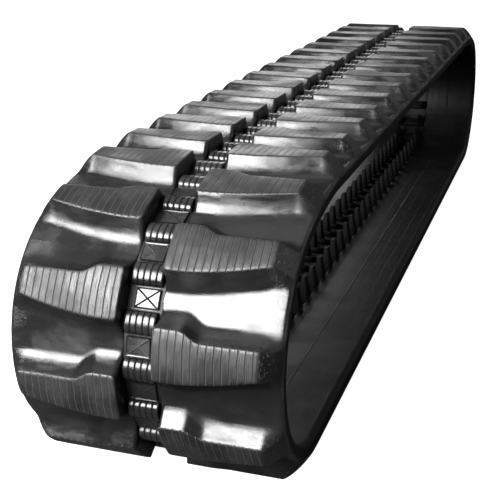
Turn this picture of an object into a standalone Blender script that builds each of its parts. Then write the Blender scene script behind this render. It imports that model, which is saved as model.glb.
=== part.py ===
"""Endless rubber crawler track, 350 mm wide, 54.5 mm pitch, 78 links, standing on its lower run.

The belt is followed along its pitch line, the layer where the steel cords lie. A place on it is
(s, y, n): s in pitches from the middle of the lower run towards -X and round over the top, y across
the belt, n outwards from the pitch line towards the ground. Core bars stand at whole values of s,
and the belt bends at the half values between them.
"""
import math

import bmesh
import bpy
from mathutils import Vector

# ---------------------------------------------------------------- driving dimensions (metres)
PITCH = 0.0545                 # core to core
LINKS = 78
BELT_WIDTH = 0.350
LOWER_RUN = 30                 # straight lower run, in pitches
TIGHT_ARC = 8                  # tight lower part of each end bend, in pitches
SLACK_ARC = 3                  # slack upper part of each end bend, in pitches
TIGHT_TURN = 2.8045            # angle that the tight part turns through, radians
FIRST_BAR = 0.46               # the core bar s = 0 stands this many pitches past the run's middle

LUG_TOP = 0.0345               # worn face of the tread
SKIN_OUT = 0.0110              # tread skin between the lugs
SKIN_IN = 0.0084
SKIN_Y = (0.0285, 0.1725)
CARCASS_OUT = 0.0081           # ground side of the carcass, under the tread skin
CARCASS_IN = -0.0125           # wheel side of the carcass
SLOT_OUT = 0.0056              # the moulded slot that holds cords and core wings
SLOT_IN = -0.0069
SLOT_HALF = 0.150
CHANNEL_HALF = 0.0395          # half width of the guide channel on the wheel side
EDGE_CHAMFER = 0.003

CORE_HALF = 0.146              # steel core link, half length across the belt
CORE_LONG = 0.022              # along the belt
CORE_OUT = 0.0025
CORE_IN = -0.0065
HORN_TIP = -0.045              # guide horn height
HORN_ROOT_Y = (0.0205, 0.0385)
HORN_TIP_Y = (0.0235, 0.0320)

CORD_BAND = (0.060, 0.142)     # steel cord belt, across
CORD_IN = 0.0003
CORD_OUT = 0.0048

LUG_INNER = 0.0235             # worn face of a tread lug: first and last y
LUG_OUTER = 0.154
LUG_HALF = 0.030               # its half width at the inner end, along the belt
LUG_STEP = 0.0190              # its edge towards +s past the step
LUG_STEP_Y = (0.057, 0.078)    # where that edge steps back
LUG_TAPER = 0.0145             # its edge towards -s at the outer end
LUG_TAPER_KNEE = (0.026, 0.095)
LUG_FLANK = 0.004              # how far each flank runs out from the worn face to the foot
LUG_END_RUN = 0.014            # the same at the outer end
LUG_FRONT_RUN = 0.001          # the same at the inner end
BRIDGE_HALF = 0.0205           # rubber bridge over each core bar, in the middle strip
BRIDGE_LONG = 0.027
BRIDGE_IN = 0.0070
BRIDGE_OUT = 0.0196

GAP = 0.0003                   # between faces that touch
OPEN_GAP = 0.0046              # at the joint where the loop is opened
OPEN_RISE = 0.0015             # under the lug that passes over that joint
OVER_GAP = 0.0014              # under a lug that passes over any other joint: its foot is a chord

# How far each bending place can bend further and straighten from rest, in degrees.
# Keys are the half values of s.
BENDS = {
    14.5: (20.1, 0.0), 16.5: (5.2, 9.8), 19.5: (18.1, 9.6), 22.5: (0.0, 16.1),
    24.5: (4.4, 8.4), 25.5: (0.0, 4.1),
    51.5: (8.9, 0.0), 53.5: (4.3, 8.1), 54.5: (11.4, 0.0), 58.5: (18.1, 9.6),
    61.5: (5.4, 10.2), 62.5: (0.0, 20.2),
    77.5: (0.0, 0.0),          # plain seam in the lower run
}
OPEN_JOINT = 38.5              # near the middle of the upper run
BEND_MARGIN = 0.4              # degrees of clearance past each limit

# Each section of the belt: name, first and last s, and the s of the joint that carries it.
# The two halves of the lower run are one moving body, which stands on the ground.
SECTIONS = [
    ("bottom_front", -0.5, 14.5, None),
    ("bottom_rear", -15.5, -0.5, None),
    ("front_bend_1", 14.5, 16.5, 14.5),
    ("front_bend_2", 16.5, 19.5, 16.5),
    ("front_bend_3", 19.5, 22.5, 19.5),
    ("front_bend_4", 22.5, 24.5, 22.5),
    ("front_bend_5", 24.5, 25.5, 24.5),
    ("top_front", 25.5, 38.5, 25.5),
    ("top_rear", 38.5, 51.5, 51.5),
    ("rear_bend_5", 51.5, 53.5, 53.5),
    ("rear_bend_4", 53.5, 54.5, 54.5),
    ("rear_bend_3", 54.5, 58.5, 58.5),
    ("rear_bend_2", 58.5, 61.5, 61.5),
    ("rear_bend_1", 61.5, 62.5, 62.5),
]


# ---------------------------------------------------------------- the pitch line
def belt_stretches():
    """The loop from the middle of the lower run: length in pitches and radius of each stretch."""
    upper_run = LINKS - LOWER_RUN - 2 * (TIGHT_ARC + SLACK_ARC)
    tight_radius = TIGHT_ARC * PITCH / TIGHT_TURN
    slack_radius = SLACK_ARC * PITCH / (math.pi - TIGHT_TURN)
    front_end = [(LOWER_RUN / 2, None), (TIGHT_ARC, tight_radius), (SLACK_ARC, slack_radius)]
    return front_end + [(upper_run, None)] + front_end[::-1]


def belt_frame(s):
    """Point, direction and outward normal on the pitch line at s pitches."""
    left = (s + FIRST_BAR) % LINKS
    x, z, heading = 0.0, LUG_TOP, math.pi
    for pitches, radius in belt_stretches():
        step = min(left, pitches) * PITCH
        if radius is None:
            x += math.cos(heading) * step
            z += math.sin(heading) * step
        else:
            turned = heading - step / radius
            x += radius * (math.sin(heading) - math.sin(turned))
            z += radius * (math.cos(turned) - math.cos(heading))
            heading = turned
        left -= pitches
        if left <= 0:
            break
    along = Vector((math.cos(heading), 0.0, math.sin(heading)))
    outward = Vector((-math.sin(heading), 0.0, math.cos(heading)))
    return Vector((x, 0.0, z)), along, outward


def on_belt(s, y, n):
    """Place in space of a point of the bent belt."""
    point, _, outward = belt_frame(s)
    return point + outward * n + Vector((0.0, y, 0.0))


def beside(s, u, y, n):
    """Place in space of a point on a stiff piece that sits at s, u metres along from its middle."""
    point, along, outward = belt_frame(s)
    return point + along * u + outward * n + Vector((0.0, y, 0.0))


def curvature(s):
    """One over the radius of the pitch line at s."""
    left = (s + FIRST_BAR) % LINKS
    for pitches, radius in belt_stretches():
        if left < pitches:
            return 1 / radius if radius else 0.0
        left -= pitches
    return 0.0


def is_bent(s):
    """True where the belt is curved at rest, or just beside such a place."""
    return any(curvature(s + step) > 0 for step in (-0.6, 0.0, 0.6))


def end_trim(s, n):
    """How far a section's end face stands back from the joint at s, so that the belt can bend."""
    place = s % LINKS
    if place == OPEN_JOINT:
        return OPEN_GAP / 2
    more, less = BENDS[place]
    angle = (less if n > 0 else more) + BEND_MARGIN
    return GAP / 2 + abs(n) * math.tan(math.radians(angle) / 2)


# ---------------------------------------------------------------- mesh helpers
def closed_loft(bm, rings):
    """Skin equal rings of points end to end, with a cap on the first and the last."""
    rows = [[bm.verts.new(point) for point in ring] for ring in rings]
    for low, high in zip(rows, rows[1:]):
        for i in range(len(low)):
            j = (i + 1) % len(low)
            bm.faces.new((low[i], low[j], high[j], high[i]))
    bm.faces.new(rows[0])
    bm.faces.new(reversed(rows[-1]))


def mesh_object(name, bm):
    """Turn a bmesh into an object with outward faces."""
    bmesh.ops.recalc_face_normals(bm, faces=bm.faces)
    mesh = bpy.data.meshes.new(name)
    bm.to_mesh(mesh)
    bm.free()
    return bpy.data.objects.new(name, mesh)


def add_piece(name, base, extras, material, section):
    """Place a piece in its section; what stands on it is joined to it by a Boolean union."""
    piece = mesh_object(name, base)
    piece.data.materials.append(material)
    section["parts"].objects.link(piece)
    piece.parent = section["axis"]
    piece.location = -section["axis"].location
    if extras is None or not extras.verts:
        return
    joined = mesh_object(name + "_joined", extras)
    joined.hide_render = True
    joined.display_type = "WIRE"
    section["guides"].objects.link(joined)
    union = piece.modifiers.new("join", "BOOLEAN")
    union.operation = "UNION"
    union.solver = "EXACT"
    union.object = joined


def stations(first, last):
    """Values of s where a belt strip gets a ring: every half pitch on a bend."""
    between = [first + i / 2 for i in range(1, round((last - first) * 2))]
    return [s for s in between if is_bent(s)]


def add_strip(bm, first, last, profile):
    """One length of belt with a constant (y, n) profile, trimmed at its two joints."""
    rings = [[on_belt(first + end_trim(first, n) / PITCH, y, n) for y, n in profile]]
    rings += [[on_belt(s, y, n) for y, n in profile] for s in stations(first, last)]
    rings.append([on_belt(last - end_trim(last, n) / PITCH, y, n) for y, n in profile])
    closed_loft(bm, rings)


def add_slab(bm, s, outline, long):
    """Stiff slab across the belt at s: an outline in (y, n), as thick as long."""
    rings = [[beside(s, side * long / 2, y, n) for y, n in outline] for side in (-1, 1)]
    closed_loft(bm, rings)


def bars_of(first, last):
    """The whole values of s between two joints."""
    return range(math.ceil(first), math.floor(last) + 1)


# ---------------------------------------------------------------- carcass
def carcass_profile():
    """Two belt halves with a slot for cords and core wings, joined by the web of the middle strip."""
    edge = BELT_WIDTH / 2
    half = [
        (edge - EDGE_CHAMFER, CARCASS_OUT), (edge, CARCASS_OUT - EDGE_CHAMFER),
        (edge, CARCASS_IN), (CHANNEL_HALF, CARCASS_IN), (CHANNEL_HALF, SLOT_IN),
        (SLOT_HALF, SLOT_IN), (SLOT_HALF, SLOT_OUT),
    ]
    return half + [(-y, n) for y, n in reversed(half)]


def make_carcass(name, first, last, material, section):
    """Belt rubber, with a bridge over each core bar in the middle strip."""
    belt = bmesh.new()
    add_strip(belt, first, last, carcass_profile())
    bridges = bmesh.new()
    crown = BRIDGE_HALF - 0.002
    for s in bars_of(first, last):
        add_slab(bridges, s, [(-BRIDGE_HALF, BRIDGE_IN), (BRIDGE_HALF, BRIDGE_IN),
                              (crown, BRIDGE_OUT), (-crown, BRIDGE_OUT)], BRIDGE_LONG)
    add_piece("carcass_" + name, belt, bridges, material, section)


# ---------------------------------------------------------------- steel reinforcement
def core_outline():
    """Core link seen along the belt: a bar with two wings and two guide horns."""
    root_in, root_out = HORN_ROOT_Y
    tip_in, tip_out = HORN_TIP_Y
    half = [
        (CORE_HALF, CORE_OUT), (CORE_HALF, CORE_IN), (root_out, CORE_IN),
        (tip_out, HORN_TIP), (tip_in, HORN_TIP), (root_in, CORE_IN),
    ]
    return half + [(-y, n) for y, n in reversed(half)]


def make_reinforcement(name, first, last, material, section):
    """The core links of a section, bonded to the left and right bands of steel cord."""
    cores = bmesh.new()
    for s in bars_of(first, last):
        add_slab(cores, s, core_outline(), CORE_LONG)
    cords = bmesh.new()
    near, far = CORD_BAND
    for side in (1, -1):
        add_strip(cords, first, last, [(side * near, CORD_IN), (side * far, CORD_IN),
                                       (side * far, CORD_OUT), (side * near, CORD_OUT)])
    add_piece("cores_and_cords_" + name, cores, cords, material, section)


# ---------------------------------------------------------------- tread
def lug_outline(run):
    """Tread lug seen from the ground, as (u, y): its worn face at run 0, its foot at run 1."""
    side = LUG_FLANK * run
    inner = LUG_INNER - LUG_FRONT_RUN * run
    outer = LUG_OUTER + LUG_END_RUN * run
    wide, step = LUG_HALF + side, LUG_STEP + side
    knee_u, knee_y = LUG_TAPER_KNEE
    return [
        (-wide, inner), (0.0, inner), (wide, inner), (wide, LUG_STEP_Y[0]),
        (step, LUG_STEP_Y[1]), (step, outer), (0.0, outer),
        (-LUG_TAPER - side, outer), (-knee_u - side, knee_y),
    ]


def foot_height(place, u):
    """Height of a lug's foot: in its own skin, but clear of the next section past a joint."""
    if place == OPEN_JOINT and u >= 0:
        return SKIN_OUT + OPEN_RISE
    if place not in BENDS or u < 0:
        return (SKIN_IN + SKIN_OUT) / 2
    less = BENDS[place][1]
    unbend = math.radians(less + BEND_MARGIN if less > 0 else 0.0)
    return (SKIN_OUT + OVER_GAP) / math.cos(unbend) + u * math.tan(unbend)


def add_lug(bm, s, side):
    """One tread lug over the gap between two core bars."""
    place = s % LINKS
    foot = [bm.verts.new(on_belt(s + u / PITCH, side * y, foot_height(place, u)))
            for u, y in lug_outline(1.0)]
    shrink = 1 / (1 + LUG_TOP * curvature(s))                # a lug keeps its own length on a bend
    face = [bm.verts.new(on_belt(s + u * shrink / PITCH, side * y, LUG_TOP))
            for u, y in lug_outline(0.0)]
    count = len(foot)
    for i in range(count):
        j = (i + 1) % count
        bm.faces.new((foot[i], foot[j], face[j], face[i]))
    for corners in (foot, face):                             # both fold along the lug's middle
        bm.faces.new((corners[0], corners[1], *corners[6:]))
        bm.faces.new(corners[1:7])


def make_tread(name, first, last, side, material, section):
    """Tread skin of one belt half, with its lugs: over even gaps left, over odd gaps right."""
    skin = bmesh.new()
    near, far = SKIN_Y
    add_strip(skin, first, last, [(side * near, SKIN_IN), (side * far, SKIN_IN),
                                  (side * far, SKIN_OUT), (side * near, SKIN_OUT)])
    lugs = bmesh.new()
    parity = 0 if side > 0 else 1
    for s in bars_of(first, last):
        if s % 2 == parity:
            add_lug(lugs, s + 0.5, side)
    hand = "left_" if side > 0 else "right_"
    add_piece("tread_" + hand + name, skin, lugs, material, section)


# ---------------------------------------------------------------- materials and assembly
def make_material(name, color, roughness, metallic):
    material = bpy.data.materials.new(name)
    material.use_nodes = True
    shader = material.node_tree.nodes["Principled BSDF"]
    shader.inputs["Base Color"].default_value = (*color, 1.0)
    shader.inputs["Roughness"].default_value = roughness
    shader.inputs["Metallic"].default_value = metallic
    return material


def make_section(name, carrier, parts, guides):
    """Empty on the axis of the joint that carries a section; the lower run has it at the origin."""
    axis = bpy.data.objects.new("axis_" + name, None)
    if carrier is not None:
        axis.location = belt_frame(carrier)[0]
    parts.objects.link(axis)
    return {"axis": axis, "parts": parts, "guides": guides}


def main():
    for old in list(bpy.data.objects):
        bpy.data.objects.remove(old, do_unlink=True)
    parts = bpy.data.collections.new("rubber_track")
    guides = bpy.data.collections.new("joined_shapes")
    for collection in (parts, guides):
        bpy.context.scene.collection.children.link(collection)
    carcass_rubber = make_material("carcass_rubber", (0.018, 0.018, 0.019), 0.30, 0.0)
    tread_rubber = make_material("tread_rubber", (0.022, 0.022, 0.024), 0.25, 0.0)
    steel = make_material("steel", (0.10, 0.10, 0.105), 0.45, 0.9)
    for name, first, last, carrier in SECTIONS:
        section = make_section(name, carrier, parts, guides)
        make_carcass(name, first, last, carcass_rubber, section)
        make_reinforcement(name, first, last, steel, section)
        make_tread(name, first, last, 1, tread_rubber, section)
        make_tread(name, first, last, -1, tread_rubber, section)


main()
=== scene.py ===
import math

import bmesh
import bpy
from mathutils import Matrix, Vector


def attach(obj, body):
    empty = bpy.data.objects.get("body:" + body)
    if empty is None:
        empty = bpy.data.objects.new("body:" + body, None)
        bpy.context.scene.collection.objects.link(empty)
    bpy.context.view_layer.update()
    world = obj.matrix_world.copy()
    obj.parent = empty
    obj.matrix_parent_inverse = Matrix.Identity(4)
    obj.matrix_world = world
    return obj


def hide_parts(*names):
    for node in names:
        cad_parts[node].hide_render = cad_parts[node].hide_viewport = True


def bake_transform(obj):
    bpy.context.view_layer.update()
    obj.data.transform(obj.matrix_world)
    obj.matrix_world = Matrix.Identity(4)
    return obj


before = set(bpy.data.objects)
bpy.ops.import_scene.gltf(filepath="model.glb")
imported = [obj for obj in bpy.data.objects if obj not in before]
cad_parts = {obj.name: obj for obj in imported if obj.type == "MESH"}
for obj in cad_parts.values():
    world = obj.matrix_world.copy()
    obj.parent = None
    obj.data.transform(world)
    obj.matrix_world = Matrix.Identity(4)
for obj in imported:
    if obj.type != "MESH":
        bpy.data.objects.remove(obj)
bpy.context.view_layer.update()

# The belt is laid out flat first, as (x, y, n): x along the pitch line, y across, n outwards from it.
# Core bars stand at whole pitches s = x / pitch, the belt bends at the half pitches between them.
belt = {
    "pitch": 0.0545,
    "links": 78,
    "firstBar": 0.46,        # bar 0 stands this many pitches past the middle of the lower run
    "groundHeight": 0.0345,  # from the ground up to the pitch line of the lower run
    "lowerRun": 30,
    "tightArc": 8,           # pitches in the tight lower part of each end bend
    "slackArc": 3,           # and in the slack part above it
    "tightTurn": 2.8045,
    "ringsPerPitch": 4,
    "lugStiff": 0.65,        # how far a lug resists being fanned out on a bend
    "lugStiffTo": 0.032,     # up to this far from its middle; the valley takes up the rest
}
pitch = belt["pitch"]


def beltStretches():
    tight, slack = belt["tightArc"], belt["slackArc"]
    upper = belt["links"] - belt["lowerRun"] - 2 * (tight + slack)
    end = [(belt["lowerRun"] / 2, 0.0), (tight, belt["tightTurn"] / (tight * pitch)),
           (slack, (math.pi - belt["tightTurn"]) / (slack * pitch))]
    return end + [(upper, 0.0)] + end[::-1]


stretches = beltStretches()


def beltPoint(s):
    # the point on the pitch line, its direction, the outward normal and the bend there
    left = (s + belt["firstBar"]) % belt["links"]
    x, z, heading, bend = 0.0, belt["groundHeight"], math.pi, 0.0
    for length, bend in stretches:
        step = min(left, length) * pitch
        if bend == 0.0:
            x += math.cos(heading) * step
            z += math.sin(heading) * step
        else:
            turned = heading - step * bend
            x += (math.sin(heading) - math.sin(turned)) / bend
            z += (math.cos(turned) - math.cos(heading)) / bend
            heading = turned
        left -= length
        if left <= 0:
            break
    along = Vector((math.cos(heading), 0.0, math.sin(heading)))
    outward = Vector((-math.sin(heading), 0.0, math.cos(heading)))
    return Vector((x, 0.0, z)), along, outward, bend


def ease(value, low, high):
    t = min(1.0, max(0.0, (value - low) / (high - low)))
    return t * t * (3 - 2 * t)


def lugCentre(s, side):
    # left lugs stand over the even gaps, right lugs over the odd ones
    first = 0.5 if side > 0 else 1.5
    return first + 2 * round((s - first) / 2)


def layOnBelt(bm, side=0):
    # bends a flat mesh round the loop; a lug nearly keeps its length and the valley beside it opens
    layer = bm.verts.layers.float_vector.new("beltPlace")
    for vert in bm.verts:
        x, y, n = vert.co
        vert[layer] = (x, y, n)
        s = x / pitch
        if side:
            centre = lugCentre(s, side)
            u = x - centre * pitch
            bend = beltPoint(centre)[3]
            spread = belt["lugStiff"] * bend * n / (1 + bend * n)
            s = centre + u * (1 - spread * (1 - ease(abs(u), belt["lugStiffTo"], pitch))) / pitch
        point, along, outward, bend = beltPoint(s)
        vert.co = point + outward * n + Vector((0.0, y, 0.0))


# ---- which body carries what
sections = [
    ("bottom_run", 62.5, 92.5), ("front_bend_1", 14.5, 16.5), ("front_bend_2", 16.5, 19.5),
    ("front_bend_3", 19.5, 22.5), ("front_bend_4", 22.5, 24.5), ("front_bend_5", 24.5, 25.5),
    ("top_front", 25.5, 38.5), ("top_rear", 38.5, 51.5), ("rear_bend_5", 51.5, 53.5),
    ("rear_bend_4", 53.5, 54.5), ("rear_bend_3", 54.5, 58.5), ("rear_bend_2", 58.5, 61.5),
    ("rear_bend_1", 61.5, 62.5),
]
hinges = {
    14.5: ("bottom_run", "front_bend_1"), 16.5: ("front_bend_1", "front_bend_2"),
    19.5: ("front_bend_2", "front_bend_3"), 22.5: ("front_bend_3", "front_bend_4"),
    24.5: ("front_bend_4", "front_bend_5"), 25.5: ("front_bend_5", "top_front"),
    51.5: ("top_rear", "rear_bend_5"), 53.5: ("rear_bend_5", "rear_bend_4"),
    54.5: ("rear_bend_4", "rear_bend_3"), 58.5: ("rear_bend_3", "rear_bend_2"),
    61.5: ("rear_bend_2", "rear_bend_1"), 62.5: ("rear_bend_1", "bottom_run"),
}
# lengths of belt skin: first and last s, the body or the hinge it bends over, the CAD sections it shows
spans = [
    (63.5, 77.5, "bottom_run", ["bottom_rear"]), (77.5, 91.5, "bottom_run", ["bottom_front"]),
    (13.5, 15.5, 14.5, ["front_bend_1"]), (15.5, 17.5, 16.5, ["front_bend_2"]),
    (17.5, 18.5, "front_bend_2", []), (18.5, 20.5, 19.5, ["front_bend_3"]),
    (20.5, 21.5, "front_bend_3", []), (21.5, 23.5, 22.5, ["front_bend_4"]),
    (23.5, 25.0, 24.5, ["front_bend_5"]), (25.0, 26.5, 25.5, []),
    (26.5, 38.5, "top_front", ["top_front"]), (38.5, 50.5, "top_rear", ["top_rear"]),
    (50.5, 52.5, 51.5, ["rear_bend_5"]), (52.5, 54.0, 53.5, ["rear_bend_4"]),
    (54.0, 55.5, 54.5, ["rear_bend_3"]), (55.5, 57.5, "rear_bend_3", []),
    (57.5, 59.5, 58.5, ["rear_bend_2"]), (59.5, 60.5, "rear_bend_2", []),
    (60.5, 62.0, 61.5, ["rear_bend_1"]), (62.0, 63.5, 62.5, []),
]


def finishPiece(bm, name, material, carrier, nodes=(), sharpFrom=1.0):
    # carrier is a body's name, or the s of the hinge that the piece bends over
    bmesh.ops.recalc_face_normals(bm, faces=bm.faces)
    for face in bm.faces:
        face.smooth = True
    for edge in bm.edges:
        if edge.is_manifold and edge.calc_face_angle() > sharpFrom:
            edge.smooth = False
    mesh = bpy.data.meshes.new(name)
    bm.to_mesh(mesh)
    bm.free()
    mesh.materials.append(material)
    piece = bpy.data.objects.new(name, mesh)
    bpy.context.scene.collection.objects.link(piece)
    if isinstance(carrier, str):
        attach(piece, carrier)
    else:
        start, end = beltPoint(carrier - 0.5)[0], beltPoint(carrier + 0.5)[0]
        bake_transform(piece)
    if nodes:
        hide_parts(*nodes)
    return piece


def addCopy(bm, shape, x, y=0.0, flip=False):
    # copies a small flat shape to x along the belt, mirrored across the belt where asked
    copy = shape.copy()
    if flip:
        bmesh.ops.scale(copy, vec=(1, -1, 1), verts=copy.verts)
        bmesh.ops.reverse_faces(copy, faces=copy.faces)
    bmesh.ops.translate(copy, vec=(x, y, 0.0), verts=copy.verts)
    mesh = bpy.data.meshes.new("copy")
    copy.to_mesh(mesh)
    copy.free()
    bm.from_mesh(mesh)
    bpy.data.meshes.remove(mesh)


# ---- materials
def newGroup(name, inputs, outputs):
    group = bpy.data.node_groups.new(name, "ShaderNodeTree")
    for socketName, kind, value in inputs:
        socket = group.interface.new_socket(socketName, in_out="INPUT", socket_type=kind)
        if value is not None:
            socket.default_value = value
    for socketName, kind in outputs:
        group.interface.new_socket(socketName, in_out="OUTPUT", socket_type=kind)
    return group, group.nodes.new("NodeGroupInput"), group.nodes.new("NodeGroupOutput")


def mathNode(tree, operation, first, second=None, clamp=False):
    node = tree.nodes.new("ShaderNodeMath")
    node.operation = operation
    node.use_clamp = clamp
    for socket, value in zip(node.inputs, (first, second)):
        if isinstance(value, (int, float)):
            socket.default_value = value
        elif value is not None:
            tree.links.new(value, socket)
    return node.outputs[0]


def rangeNode(tree, value, low, high, toLow=0.0, toHigh=1.0):
    node = tree.nodes.new("ShaderNodeMapRange")
    node.interpolation_type = "SMOOTHSTEP"
    tree.links.new(value, node.inputs["Value"])
    node.inputs["From Min"].default_value = low
    node.inputs["From Max"].default_value = high
    node.inputs["To Min"].default_value = toLow
    node.inputs["To Max"].default_value = toHigh
    return node.outputs[0]


def noiseNode(tree, vector, stretch, detail=3.0, roughness=0.5):
    mapping = tree.nodes.new("ShaderNodeMapping")
    mapping.inputs["Scale"].default_value = stretch
    tree.links.new(vector, mapping.inputs["Vector"])
    noise = tree.nodes.new("ShaderNodeTexNoise")
    noise.inputs["Scale"].default_value = 1.0
    noise.inputs["Detail"].default_value = detail
    noise.inputs["Roughness"].default_value = roughness
    tree.links.new(mapping.outputs["Vector"], noise.inputs["Vector"])
    return noise.outputs[0]


def mixColour(tree, mask, first, second):
    node = tree.nodes.new("ShaderNodeMix")
    node.data_type = "RGBA"
    tree.links.new(mask, node.inputs["Factor"])
    for socket, value in ((node.inputs["A"], first), (node.inputs["B"], second)):
        if isinstance(value, tuple):
            socket.default_value = (*value, 1.0)
        else:
            tree.links.new(value, socket)
    return node.outputs["Result"]


def makeGrainGroup():
    # moulded rubber: fine grain and slow unevenness of the surface
    group, ins, outs = newGroup(
        "rubberGrain",
        [("Place", "NodeSocketVector", None), ("Grain", "NodeSocketFloat", 0.3),
         ("Waves", "NodeSocketFloat", 1.0)],
        [("Height", "NodeSocketFloat"), ("Unevenness", "NodeSocketFloat")])
    place = ins.outputs["Place"]
    fine = noiseNode(group, place, (1400, 1400, 1400), 2.0)
    slow = noiseNode(group, place, (34, 22, 60), 1.5)
    patches = noiseNode(group, place, (14, 11, 40), 4.0, 0.6)
    grain = mathNode(group, "MULTIPLY", fine, ins.outputs["Grain"])
    waves = mathNode(group, "MULTIPLY", slow, ins.outputs["Waves"])
    group.links.new(mathNode(group, "ADD", grain, waves), outs.inputs["Height"])
    group.links.new(rangeNode(group, patches, 0.35, 0.68), outs.inputs["Unevenness"])
    return group


def makeLinesGroup():
    # narrow moulded lines that run along the belt at an even distance
    group, ins, outs = newGroup(
        "mouldedLines",
        [("Place", "NodeSocketVector", None), ("Spacing", "NodeSocketFloat", 0.0094),
         ("Width", "NodeSocketFloat", 0.19)],
        [("Line", "NodeSocketFloat"), ("Streaks", "NodeSocketFloat")])
    split = group.nodes.new("ShaderNodeSeparateXYZ")
    group.links.new(ins.outputs["Place"], split.inputs[0])
    across = mathNode(group, "DIVIDE", split.outputs["Y"], ins.outputs["Spacing"])
    wander = noiseNode(group, ins.outputs["Place"], (30, 8, 0), 1.0)
    across = mathNode(group, "ADD", across, mathNode(group, "MULTIPLY", wander, 0.25))
    phase = mathNode(group, "ABSOLUTE", mathNode(group, "SUBTRACT",
                     mathNode(group, "FRACT", across), 0.5))
    half = mathNode(group, "MULTIPLY", ins.outputs["Width"], 0.5)
    line = mathNode(group, "SUBTRACT", 1.0, mathNode(group, "DIVIDE", phase, half), clamp=True)
    streaks = noiseNode(group, ins.outputs["Place"], (45, 900, 20), 3.0, 0.6)
    group.links.new(line, outs.inputs["Line"])
    group.links.new(rangeNode(group, streaks, 0.4, 0.75), outs.inputs["Streaks"])
    return group


grainGroup = makeGrainGroup()
linesGroup = makeLinesGroup()


def startMaterial(name, roughness, ior):
    material = bpy.data.materials.new(name)
    material.use_nodes = True
    tree = material.node_tree
    shader = tree.nodes["Principled BSDF"]
    shader.inputs["Roughness"].default_value = roughness
    shader.inputs["IOR"].default_value = ior
    place = tree.nodes.new("ShaderNodeAttribute")
    place.attribute_name = "beltPlace"
    return material, tree, shader, place.outputs["Vector"]


def placeGroup(tree, group, place, **values):
    node = tree.nodes.new("ShaderNodeGroup")
    node.node_tree = group
    tree.links.new(place, node.inputs["Place"])
    for name, value in values.items():
        node.inputs[name].default_value = value
    return node


def addBump(tree, shader, height, distance):
    bump = tree.nodes.new("ShaderNodeBump")
    bump.inputs["Distance"].default_value = distance
    bump.inputs["Strength"].default_value = 1.0
    tree.links.new(height, bump.inputs["Height"])
    tree.links.new(bump.outputs["Normal"], shader.inputs["Normal"])


treadLook = {
    "valley": (0.0050, 0.0050, 0.0052), "patch": (0.0095, 0.0095, 0.0098),
    "worn": (0.0045, 0.0045, 0.0047), "dust": (0.020, 0.020, 0.0197), "line": (0.032, 0.032, 0.032),
    # rim: a painted highlight, a pale line along the outer edge corner of the belt
    "rim": (0.055, 0.055, 0.055), "scuff": (0.075, 0.075, 0.074),
    "valleyRough": 0.15, "wornRough": 0.40, "lineRough": 0.9, "ior": 1.5,
    "wornBand": (0.0322, 0.0341),    # n where flank turns into worn face
    "rimHighlightBand": (0.1733, 0.1743),     # distance from the middle where the painted highlight along the rim starts
    "scuffBand": (0.146, 0.156),     # and where the scuffed outer lug ends start
    "scuffHeight": (0.012, 0.026),
    "hatchBand": (0.148, 0.158),
    "bump": 0.0006,
}


def makeTreadRubber():
    look = treadLook
    material, tree, shader, place = startMaterial("treadRubber", look["wornRough"], look["ior"])
    split = tree.nodes.new("ShaderNodeSeparateXYZ")
    tree.links.new(place, split.inputs[0])
    worn = rangeNode(tree, split.outputs["Z"], *look["wornBand"])
    grain = placeGroup(tree, grainGroup, place, Grain=0.25, Waves=2.4)
    lines = placeGroup(tree, linesGroup, place)
    line = mathNode(tree, "MULTIPLY", lines.outputs["Line"], worn)
    dusty = noiseNode(tree, place, (30, 34, 10), 6.0, 0.66)
    dusty = rangeNode(tree, dusty, 0.42, 0.60)
    dusty = mathNode(tree, "MULTIPLY", dusty,
                     rangeNode(tree, lines.outputs["Streaks"], 0.0, 1.0, 0.45, 1.0))
    low = mixColour(tree, grain.outputs["Unevenness"], look["valley"], look["patch"])
    high = mixColour(tree, dusty, look["worn"], look["dust"])
    colour = mixColour(tree, worn, low, high)
    colour = mixColour(tree, line, colour, look["line"])
    across = mathNode(tree, "ABSOLUTE", split.outputs["Y"])
    # painted highlight: a pale line along the outer edge corner of the belt, broken up by the streaks
    rim = mathNode(tree, "MULTIPLY", rangeNode(tree, across, *look["rimHighlightBand"]),
                   rangeNode(tree, lines.outputs["Streaks"], 0.0, 0.6, 0.3, 1.0))
    colour = mixColour(tree, rim, colour, look["rim"])
    scuffed = rangeNode(tree, noiseNode(tree, place, (190, 420, 260), 5.0, 0.7), 0.55, 0.68)
    scuffed = mathNode(tree, "MULTIPLY", scuffed,
                       rangeNode(tree, across, *look["scuffBand"], 0.12, 0.8))
    scuffed = mathNode(tree, "MULTIPLY", scuffed,
                       rangeNode(tree, split.outputs["Z"], *look["scuffHeight"]))
    colour = mixColour(tree, scuffed, colour, look["scuff"])
    tree.links.new(colour, shader.inputs["Base Color"])
    rough = rangeNode(tree, grain.outputs["Unevenness"], 0.0, 1.0,
                      look["valleyRough"] - 0.04, look["valleyRough"] + 0.20)
    rough = mathNode(tree, "ADD", rough, mathNode(tree, "MULTIPLY", worn,
                     look["wornRough"] - look["valleyRough"]))
    rough = mathNode(tree, "SUBTRACT", rough, mathNode(tree, "MULTIPLY",
                     mathNode(tree, "MULTIPLY", dusty, worn), 0.12))
    rough = mathNode(tree, "ADD", rough, mathNode(tree, "MULTIPLY", line,
                     look["lineRough"] - look["wornRough"]), clamp=True)
    tree.links.new(rough, shader.inputs["Roughness"])
    height = mathNode(tree, "SUBTRACT", grain.outputs["Height"],
                      mathNode(tree, "MULTIPLY", line, 1.6))
    height = mathNode(tree, "ADD", height, mathNode(tree, "MULTIPLY",
                      lines.outputs["Streaks"], mathNode(tree, "MULTIPLY", worn, 0.3)))
    hatch = noiseNode(tree, place, (260, 60, 1500), 3.0, 0.7)   # torn skin on the outer lug ends
    height = mathNode(tree, "ADD", height, mathNode(tree, "MULTIPLY", hatch,
                      rangeNode(tree, across, *look["hatchBand"], 0.0, 0.55)))
    addBump(tree, shader, height, look["bump"])
    return material


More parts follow.
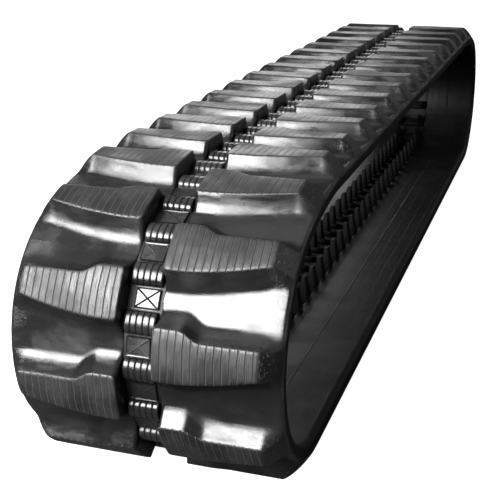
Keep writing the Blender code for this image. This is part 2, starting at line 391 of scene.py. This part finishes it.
carcassLook = {"base": (0.0065, 0.0065, 0.0067), "patch": (0.0095, 0.0095, 0.0098),
               "roughness": 0.46, "ior": 1.33, "bump": 0.0005}


def makeCarcassRubber():
    look = carcassLook
    material, tree, shader, place = startMaterial("carcassRubber", look["roughness"], look["ior"])
    grain = placeGroup(tree, grainGroup, place, Grain=0.3, Waves=0.6)
    lines = placeGroup(tree, linesGroup, place, Spacing=0.021, Width=0.04)
    colour = mixColour(tree, grain.outputs["Unevenness"], look["base"], look["patch"])
    tree.links.new(colour, shader.inputs["Base Color"])
    rough = rangeNode(tree, grain.outputs["Unevenness"], 0.0, 1.0,
                      look["roughness"] - 0.04, look["roughness"] + 0.08)
    tree.links.new(rough, shader.inputs["Roughness"])
    height = mathNode(tree, "ADD", grain.outputs["Height"],
                      mathNode(tree, "MULTIPLY", lines.outputs["Streaks"], 0.15))
    height = mathNode(tree, "ADD", height, mathNode(tree, "MULTIPLY", lines.outputs["Line"], 0.5))
    addBump(tree, shader, height, look["bump"])
    return material


stripLook = {"base": (0.0055, 0.0055, 0.0058), "patch": (0.012, 0.012, 0.012),
             "roughness": 0.22, "ior": 1.55, "bump": 0.0005}


def makeStripRubber():
    look = stripLook
    material, tree, shader, place = startMaterial("stripRubber", look["roughness"], look["ior"])
    grain = placeGroup(tree, grainGroup, place, Grain=0.3, Waves=0.5)
    colour = mixColour(tree, grain.outputs["Unevenness"], look["base"], look["patch"])
    tree.links.new(colour, shader.inputs["Base Color"])
    rough = rangeNode(tree, grain.outputs["Unevenness"], 0.0, 1.0,
                      look["roughness"] - 0.04, look["roughness"] + 0.1)
    tree.links.new(rough, shader.inputs["Roughness"])
    addBump(tree, shader, grain.outputs["Height"], look["bump"])
    return material


# the lighter horn tips are partly rubbed bare steel and partly a painted highlight on the horns
steelLook = {"base": (0.0034, 0.0034, 0.0036), "bareAndHighlight": (0.0075, 0.0075, 0.0077),
             "roughness": 0.55, "metallic": 0.12, "ior": 1.18, "bump": 0.0004}


def makeCoreSteel():
    look = steelLook
    material, tree, shader, place = startMaterial("coreSteel", look["roughness"], look["ior"])
    grain = placeGroup(tree, grainGroup, place, Grain=0.5, Waves=0.8)
    split = tree.nodes.new("ShaderNodeSeparateXYZ")
    tree.links.new(place, split.inputs[0])
    # lighter horn tips: partly real rubbed steel, partly a painted highlight
    rubbedAndHighlight = rangeNode(tree, split.outputs["Z"], -0.030, -0.045)   # the horns towards their tips: rubbed bare steel, and a painted highlight there
    rubbedAndHighlight = mathNode(tree, "MULTIPLY", rubbedAndHighlight,
                      rangeNode(tree, grain.outputs["Unevenness"], 0.0, 1.0, 0.3, 1.0))
    tree.links.new(mixColour(tree, rubbedAndHighlight, look["base"], look["bareAndHighlight"]), shader.inputs["Base Color"])
    tree.links.new(mathNode(tree, "MULTIPLY", rubbedAndHighlight, look["metallic"]), shader.inputs["Metallic"])
    addBump(tree, shader, grain.outputs["Height"], look["bump"])
    return material


treadRubber = makeTreadRubber()
carcassRubber = makeCarcassRubber()
stripRubber = makeStripRubber()
coreSteel = makeCoreSteel()
print("materials made")

# ---- tread: one lug with half a valley on each side of it, repeated every second pitch
lug = {
    "top": 0.0345, "floor": 0.0098, "foot": 0.0070,
    "innerEnd": 0.0232, "outerEnd": 0.151, "rim": 0.1750,
    "half": 0.030, "stepHalf": 0.0188, "stepFrom": 0.053, "stepTo": 0.081,
    "taperFrom": 0.045, "taperTo": 0.150, "taperBy": 0.0155, "taperPower": 1.6,
    "cornerRadius": 0.005, "valleyReach": 0.019, "valleyPower": 2.1, "endPower": 1.35,
    "rimInset": 0.0012,
}
seam = {"weld": 0.00002, "guard": 0.0008}
rimDrop = (0.0004, 0.0016, 0.0052)   # how far the last three rows round down over the rim
footShare = (0.0, 0.93, 0.99)        # and the first three rows rise out of the middle strip
crestShare = (0.0, 0.0, 0.0, 0.004, 0.028)   # drop of the worn face towards its edge
crestSteps = (0.0012, 0.0036)        # the last columns, in from the edge of the worn face
flankSteps = (0.04, 0.11, 0.20, 0.32, 0.46, 0.62, 0.80, 1.0)  # out from it, in shares of the valley
lugRows = (0.0226, 0.0229, 0.0240, 0.0256, 0.0285, 0.034, 0.042, 0.050, 0.055, 0.059, 0.063, 0.067,
           0.071, 0.075, 0.080, 0.087, 0.096, 0.105, 0.115, 0.125, 0.135, 0.143, 0.148, 0.151,
           0.154, 0.158, 0.162, 0.166, 0.170, 0.1730, 0.1745, 0.1750)


def lugEdge(y, forward):
    # half width of the worn face towards +s or -s
    if forward:
        edge = lug["half"] + (lug["stepHalf"] - lug["half"]) * ease(y, lug["stepFrom"], lug["stepTo"])
    else:
        t = min(1.0, max(0.0, (y - lug["taperFrom"]) / (lug["taperTo"] - lug["taperFrom"])))
        edge = lug["half"] - lug["taperBy"] * t ** lug["taperPower"]
    radius = lug["cornerRadius"]
    near = max(0.0, radius - max(0.0, y - lug["innerEnd"]))
    return edge - (radius - math.sqrt(radius * radius - near * near))


def treadPlace(column, row, columns):
    # where a point of the grid goes: u along the belt from the lug's middle, y and n
    y = lugRows[row]
    middle = columns // 2
    forward = column > middle
    k = abs(column - middle)
    edge = lugEdge(y, forward)
    reach = min(lug["valleyReach"], pitch - edge - 0.001)
    inside = (0.0, edge * 0.5, edge - crestSteps[1], edge - crestSteps[0], edge)
    if k < len(inside):
        u = inside[k]
        share = 1.0 - crestShare[k]
    elif k - len(inside) < len(flankSteps):
        step = flankSteps[k - len(inside)]
        u = edge + reach * step
        share = (1 - step) ** lug["valleyPower"]
    else:
        u, share = pitch, 0.0
    if y > lug["outerEnd"]:
        t = (y - lug["outerEnd"]) / (lug["rim"] - lug["rimInset"] - lug["outerEnd"])
        share *= max(0.0, 1 - t ** lug["endPower"])
    n = lug["floor"] + (lug["top"] - lug["floor"]) * share
    fromRim = row - len(lugRows) + len(rimDrop)
    if fromRim >= 0:
        n -= rimDrop[fromRim]
    if row < len(footShare):
        n = lug["foot"] + (n - lug["foot"]) * footShare[row]
    return (u if forward else -u), y, n


def makeTreadTile():
    columns = 2 * (4 + len(flankSteps) + 1)
    rows = len(lugRows) - 1
    bm = bmesh.new()
    bmesh.ops.create_grid(bm, x_segments=columns, y_segments=rows, size=0.5)
    for vert in bm.verts:
        column = round((vert.co.x + 0.5) * columns)
        row = round((vert.co.y + 0.5) * rows)
        vert.co = treadPlace(column, row, columns)
    return bm


def cutToLength(bm, first, last):
    # a narrow row beside each cut keeps the shading the same on both sides of a seam
    for s, away in ((first, -1), (last, 1)):
        for back in (0.0, seam["guard"]):
            bmesh.ops.bisect_plane(bm, geom=bm.verts[:] + bm.edges[:] + bm.faces[:],
                                   plane_co=(s * pitch - away * back, 0, 0),
                                   plane_no=(away, 0, 0), clear_outer=back == 0.0)


def makeTreadSpan(tile, side, first, last):
    bm = bmesh.new()
    centre = lugCentre(first, side)
    while (centre - 1) < last:
        if centre + 1 > first:
            addCopy(bm, tile, centre * pitch, flip=side < 0)
        centre += 2
    bmesh.ops.remove_doubles(bm, verts=bm.verts, dist=seam["weld"])
    cutToLength(bm, first, last)
    layOnBelt(bm, side)
    return bm


treadTile = makeTreadTile()
for first, last, carrier, shown in spans:
    for side, hand in ((1, "left"), (-1, "right")):
        bm = makeTreadSpan(treadTile, side, first, last)
        name = "tread_surface_%s_%g" % (hand, first * 10)
        finishPiece(bm, name, treadRubber, carrier,
                    ["tread_%s_%s" % (hand, node) for node in shown])
treadTile.free()
print("tread made")

# ---- carcass: the belt body under the tread, with its rounded edges and the roller path inside
carcassOutline = [   # half of the outline, from the ground side round to the guide channel
    (0.1738, 0.0086), (0.1745, 0.0076), (0.1746, 0.0050), (0.1746, -0.0045), (0.1740, -0.0080),
    (0.1722, -0.0106), (0.1692, -0.0121), (0.1655, -0.0127), (0.1630, -0.0126), (0.1610, -0.0125),
    (0.1008, -0.0125), (0.1000, -0.0125), (0.0996, -0.0131), (0.0986, -0.0131), (0.0982, -0.0125),
    (0.0974, -0.0125), (0.0432, -0.0125), (0.0422, -0.0124), (0.0402, -0.0118), (0.0395, -0.0100),
    (0.0395, 0.0046), (0.0380, 0.0052),
]


def makeCarcassSpan(first, last):
    bm = bmesh.new()
    outline = carcassOutline + [(-y, n) for y, n in reversed(carcassOutline)]
    verts = [bm.verts.new((first * pitch, y, n)) for y, n in outline]
    bm.faces.new(verts)
    count = round((last - first) * belt["ringsPerPitch"])
    cap = bm.faces[:]
    for ring in range(count):
        grown = bmesh.ops.extrude_face_region(bm, geom=cap, use_keep_orig=ring == 0)
        moved = [item for item in grown["geom"] if isinstance(item, bmesh.types.BMVert)]
        newCap = [item for item in grown["geom"] if isinstance(item, bmesh.types.BMFace)]
        if ring:
            bmesh.ops.delete(bm, geom=[f for f in cap if f.is_valid], context="FACES_ONLY")
        bmesh.ops.translate(bm, vec=((last - first) * pitch / count, 0, 0), verts=moved)
        cap = newCap
    layOnBelt(bm)
    return bm


for first, last, carrier, shown in spans:
    bm = makeCarcassSpan(first, last)
    finishPiece(bm, "carcass_body_%g" % (first * 10), carcassRubber, carrier,
                ["carcass_" + node for node in shown])
print("carcass made")

# ---- middle strip: a ribbed rubber bar over each core link
bar = {"half": 0.0135, "base": 0.0072, "crest": 0.0196, "ribs": 5, "ribWide": 0.0081,
       "groove": 0.10, "arcSteps": 10, "roundness": 0.62, "leastWidth": 0.55}
# one rib's outline: share of its width, share of the groove's depth
ribShape = ((0.0, 1.0), (0.07, 0.22), (0.16, 0.03), (0.34, 0.0), (0.66, 0.0), (0.84, 0.03), (0.93, 0.22))


def makeRibbedBar():
    # the profile across the belt: y and the height there in shares of the bar's
    width = bar["ribs"] * bar["ribWide"]
    places = [(-width / 2 - 0.0003, 0.0), (-width / 2 - 0.0002, 0.75), (-width / 2 + 0.0006, 0.94)]
    for rib in range(bar["ribs"]):
        for share, depth in ribShape:
            if rib == 0 and share == 0.0:
                continue
            y = -width / 2 + (rib + share) * bar["ribWide"]
            places.append((y, 1 - bar["groove"] * depth))
    places += [(width / 2 - 0.0006, 0.94), (width / 2 + 0.0002, 0.75), (width / 2 + 0.0003, 0.0)]
    places.sort()
    bm = bmesh.new()
    steps = bar["arcSteps"]
    bmesh.ops.create_grid(bm, x_segments=steps, y_segments=len(places) - 1, size=0.5)
    for vert in bm.verts:
        turn = round((vert.co.x + 0.5) * steps) / steps * math.pi
        y, size = places[round((vert.co.y + 0.5) * (len(places) - 1))]
        u = -math.cos(turn) * bar["half"] * max(size, bar["leastWidth"])
        n = bar["base"] + (bar["crest"] - bar["base"]) * math.sin(turn) ** bar["roundness"] * size
        vert.co = (u, y, n)
    return bm


# ---- and between two bars a square pad with a raised cross
pad = {"halfLong": 0.0110, "halfWide": 0.0152, "aside": 0.0030, "top": 0.0122, "foot": 0.0070,
       "crossWide": 0.0011, "crossDepth": -0.0008, "flare": (1.08, 1.06, 1)}


def makeCrossPad():
    bm = bmesh.new()
    bmesh.ops.create_grid(bm, x_segments=1, y_segments=1, size=1.0)
    bmesh.ops.scale(bm, vec=(pad["halfLong"], pad["halfWide"], 1), verts=bm.verts)
    bmesh.ops.translate(bm, vec=(0, 0, pad["top"]), verts=bm.verts)
    bmesh.ops.poke(bm, faces=bm.faces[:])
    bmesh.ops.inset_individual(bm, faces=bm.faces[:], thickness=pad["crossWide"],
                               depth=pad["crossDepth"], use_even_offset=True)
    rim = [e for e in bm.edges if e.is_boundary]
    skirt = bmesh.ops.extrude_edge_only(bm, edges=rim)
    low = [item for item in skirt["geom"] if isinstance(item, bmesh.types.BMVert)]
    bmesh.ops.scale(bm, vec=pad["flare"], verts=low)
    bmesh.ops.translate(bm, vec=(0, 0, pad["foot"] - pad["top"]), verts=low)
    return bm


# a thin raised line across the strip at the foot of a bar
ledgeLine = {"size": (0.0012, 0.034, 0.0026), "height": 0.0085, "edge": 0.0004, "fromBar": 0.0147}


def makeLedge():
    bm = bmesh.new()
    bmesh.ops.create_cube(bm, size=1.0)
    bmesh.ops.scale(bm, vec=ledgeLine["size"], verts=bm.verts)
    bmesh.ops.translate(bm, vec=(0, 0, ledgeLine["height"]), verts=bm.verts)
    bmesh.ops.bevel(bm, geom=bm.edges[:], offset=ledgeLine["edge"], segments=1, profile=0.5,
                    affect="EDGES", material=-1)
    return bm


ribbedBar, crossPad, ledge = makeRibbedBar(), makeCrossPad(), makeLedge()


def barsOf(first, last):
    return range(math.ceil(first), math.floor(last) + 1)


for body, first, last in sections:
    bm = bmesh.new()
    for s in barsOf(first, last):
        addCopy(bm, ribbedBar, s * pitch)
    layOnBelt(bm)
    finishPiece(bm, "ribbed_bars_" + body, stripRubber, body)
    bm = bmesh.new()
    for s in barsOf(first, last):
        for u in (-ledgeLine["fromBar"], ledgeLine["fromBar"]):
            addCopy(bm, ledge, s * pitch + u)
        window = s + 0.5
        if last - 0.1 > window and window % belt["links"] not in hinges:
            addCopy(bm, crossPad, window * pitch, pad["aside"] * (-1 if s % 2 == 0 else 1))
    layOnBelt(bm)
    finishPiece(bm, "strip_pads_" + body, stripRubber, body, sharpFrom=0.3)
openWindow = 38.5   # where the loop is opened for the joints
for window in list(hinges) + [openWindow]:
    bm = bmesh.new()
    addCopy(bm, crossPad, window * pitch, pad["aside"] * (-1 if (window - 0.5) % 2 == 0 else 1))
    layOnBelt(bm)
    carrier = window if window in hinges else "top_front"
    finishPiece(bm, "strip_pad_%g" % (window * 10), stripRubber, carrier,
                sharpFrom=0.3)
print("middle strip made")

# ---- core links: a steel bar across the guide channel with two horns
core = {"half": 0.011, "out": 0.0048, "in": -0.0068, "wide": 0.0400, "edge": 0.0016}
horn = {"rootFrom": 0.0205, "rootTo": 0.0385, "tipFrom": 0.0235, "tipTo": 0.0320,
        "rootHalf": 0.0120, "tipHalf": 0.0070, "rootIn": -0.0060, "tip": -0.045, "edge": 0.0024}


def makeCoreBar():
    bm = bmesh.new()
    bmesh.ops.create_cube(bm, size=1.0)
    bmesh.ops.scale(bm, vec=(2 * core["half"], 2 * core["wide"], core["out"] - core["in"]),
                    verts=bm.verts)
    bmesh.ops.translate(bm, vec=(0, 0, (core["out"] + core["in"]) / 2), verts=bm.verts)
    bmesh.ops.bevel(bm, geom=bm.edges[:], offset=core["edge"], segments=2, profile=0.5,
                    affect="EDGES", material=-1)
    return bm


def makeHorn():
    bm = bmesh.new()
    bmesh.ops.create_cube(bm, size=1.0)
    for vert in bm.verts:
        tip = vert.co.z < 0
        near, far = (horn["tipFrom"], horn["tipTo"]) if tip else (horn["rootFrom"], horn["rootTo"])
        half = horn["tipHalf"] if tip else horn["rootHalf"]
        vert.co = (math.copysign(half, vert.co.x), far if vert.co.y > 0 else near,
                   horn["tip"] if tip else horn["rootIn"])
    bmesh.ops.bevel(bm, geom=bm.edges[:], offset=horn["edge"], segments=3, profile=0.5,
                    affect="EDGES", material=-1)
    return bm


coreBar, hornShape = makeCoreBar(), makeHorn()
coreSections = {"bottom_run": ["bottom_front", "bottom_rear"]}
for body, first, last in sections:
    bm = bmesh.new()
    for s in barsOf(first, last):
        addCopy(bm, coreBar, s * pitch)
        addCopy(bm, hornShape, s * pitch)
        addCopy(bm, hornShape, s * pitch, flip=True)
    layOnBelt(bm)
    nodes = ["cores_and_cords_" + name for name in coreSections.get(body, [body])]
    finishPiece(bm, "core_links_" + body, coreSteel, body, nodes)
print("core links made")

# ---- camera
view = {
    "place": (-1.9442, -0.4585, 0.7139), "yaw": 0.3167, "pitch": -0.3246, "roll": -0.0029,
    "lens": 71.15, "sensor": 36, "shift": (-0.0113, -0.0321), "nearest": 0.05,
}


def makeCamera():
    data = bpy.data.cameras.new("camera")
    data.lens = view["lens"]
    data.sensor_width = view["sensor"]
    data.shift_x, data.shift_y = view["shift"]
    data.clip_start = view["nearest"]
    camera = bpy.data.objects.new("camera", data)
    bpy.context.scene.collection.objects.link(camera)
    forward = Vector((math.cos(view["pitch"]) * math.cos(view["yaw"]),
                      math.cos(view["pitch"]) * math.sin(view["yaw"]), math.sin(view["pitch"])))
    right = forward.cross(Vector((0, 0, 1))).normalized()
    up = right.cross(forward)
    tilt = Matrix.Rotation(-view["roll"], 3, forward)
    right, up = tilt @ right, tilt @ up
    turn = Matrix((right, up, -forward)).transposed()
    camera.matrix_world = Matrix.Translation(view["place"]) @ turn.to_4x4()
    bpy.context.scene.camera = camera


makeCamera()

# ---- floor, light and surroundings
studio = {"floorSize": 30.0, "floor": (0.5, 0.5, 0.5), "floorGlow": 0.965, "floorDull": 0.05,
          "floorRough": 0.9,
          "surround": (0.15, 0.15, 0.15), "backdrop": (1.0, 1.0, 1.0)}


def makeFloor():
    bm = bmesh.new()
    bmesh.ops.create_grid(bm, x_segments=1, y_segments=1, size=studio["floorSize"] / 2)
    mesh = bpy.data.meshes.new("floor")
    bm.to_mesh(mesh)
    bm.free()
    floor = bpy.data.objects.new("floor", mesh)
    bpy.context.scene.collection.objects.link(floor)
    material = bpy.data.materials.new("paleFloor")
    material.use_nodes = True
    tree = material.node_tree
    shader = tree.nodes["Principled BSDF"]
    shader.inputs["Base Color"].default_value = (*studio["floor"], 1.0)
    shader.inputs["Roughness"].default_value = studio["floorRough"]
    shader.inputs["Specular IOR Level"].default_value = 0.0
    shader.inputs["Emission Color"].default_value = (1, 1, 1, 1)
    seen = tree.nodes.new("ShaderNodeLightPath")
    glow = mathNode(tree, "MULTIPLY", seen.outputs["Is Camera Ray"], studio["floorGlow"])
    tree.links.new(glow, shader.inputs["Emission Strength"])
    dull = tree.nodes.new("ShaderNodeBsdfDiffuse")
    dull.inputs["Color"].default_value = (*[studio["floorDull"]] * 3, 1.0)
    mix = tree.nodes.new("ShaderNodeMixShader")
    tree.links.new(seen.outputs["Is Camera Ray"], mix.inputs[0])
    tree.links.new(dull.outputs[0], mix.inputs[1])
    tree.links.new(shader.outputs[0], mix.inputs[2])
    tree.links.new(mix.outputs[0], tree.nodes["Material Output"].inputs["Surface"])
    mesh.materials.append(material)


def makeSurroundings():
    world = bpy.data.worlds.new("studio")
    world.use_nodes = True
    tree = world.node_tree
    background = tree.nodes["Background"]
    seen = tree.nodes.new("ShaderNodeLightPath")
    tree.links.new(mixColour(tree, seen.outputs["Is Camera Ray"], studio["surround"],
                             studio["backdrop"]), background.inputs["Color"])
    bpy.context.scene.world = world


lamps = [   # name, place, aim, width, height, power
    ("panelFront", (-2.21, 0.68, 1.12), (-0.95, 0.0, 0.25), 1.36, 1.16, 160),
    ("panelTop", (-0.2, 0.5, 3.0), (-0.2, 0.0, 0.3), 3.0, 2.2, 14),
    ("panelRight", (0.2, -3.4, 1.6), (0.0, 0.0, 0.2), 2.6, 1.2, 10),
    ("panelBack", (3.4, 1.6, 1.7), (0.6, 0.0, 0.25), 2.4, 1.4, 45),
]


def makeLamps():
    for name, place, aim, width, height, power in lamps:
        data = bpy.data.lights.new(name, "AREA")
        data.shape = "RECTANGLE"
        data.size, data.size_y = width, height
        data.energy = power
        lamp = bpy.data.objects.new(name, data)
        bpy.context.scene.collection.objects.link(lamp)
        lamp.location = place
        lamp.rotation_euler = (Vector(aim) - Vector(place)).to_track_quat("-Z", "Y").to_euler()


makeFloor()
makeSurroundings()
makeLamps()
bpy.context.scene.view_settings.view_transform = "Standard"
print("studio made")
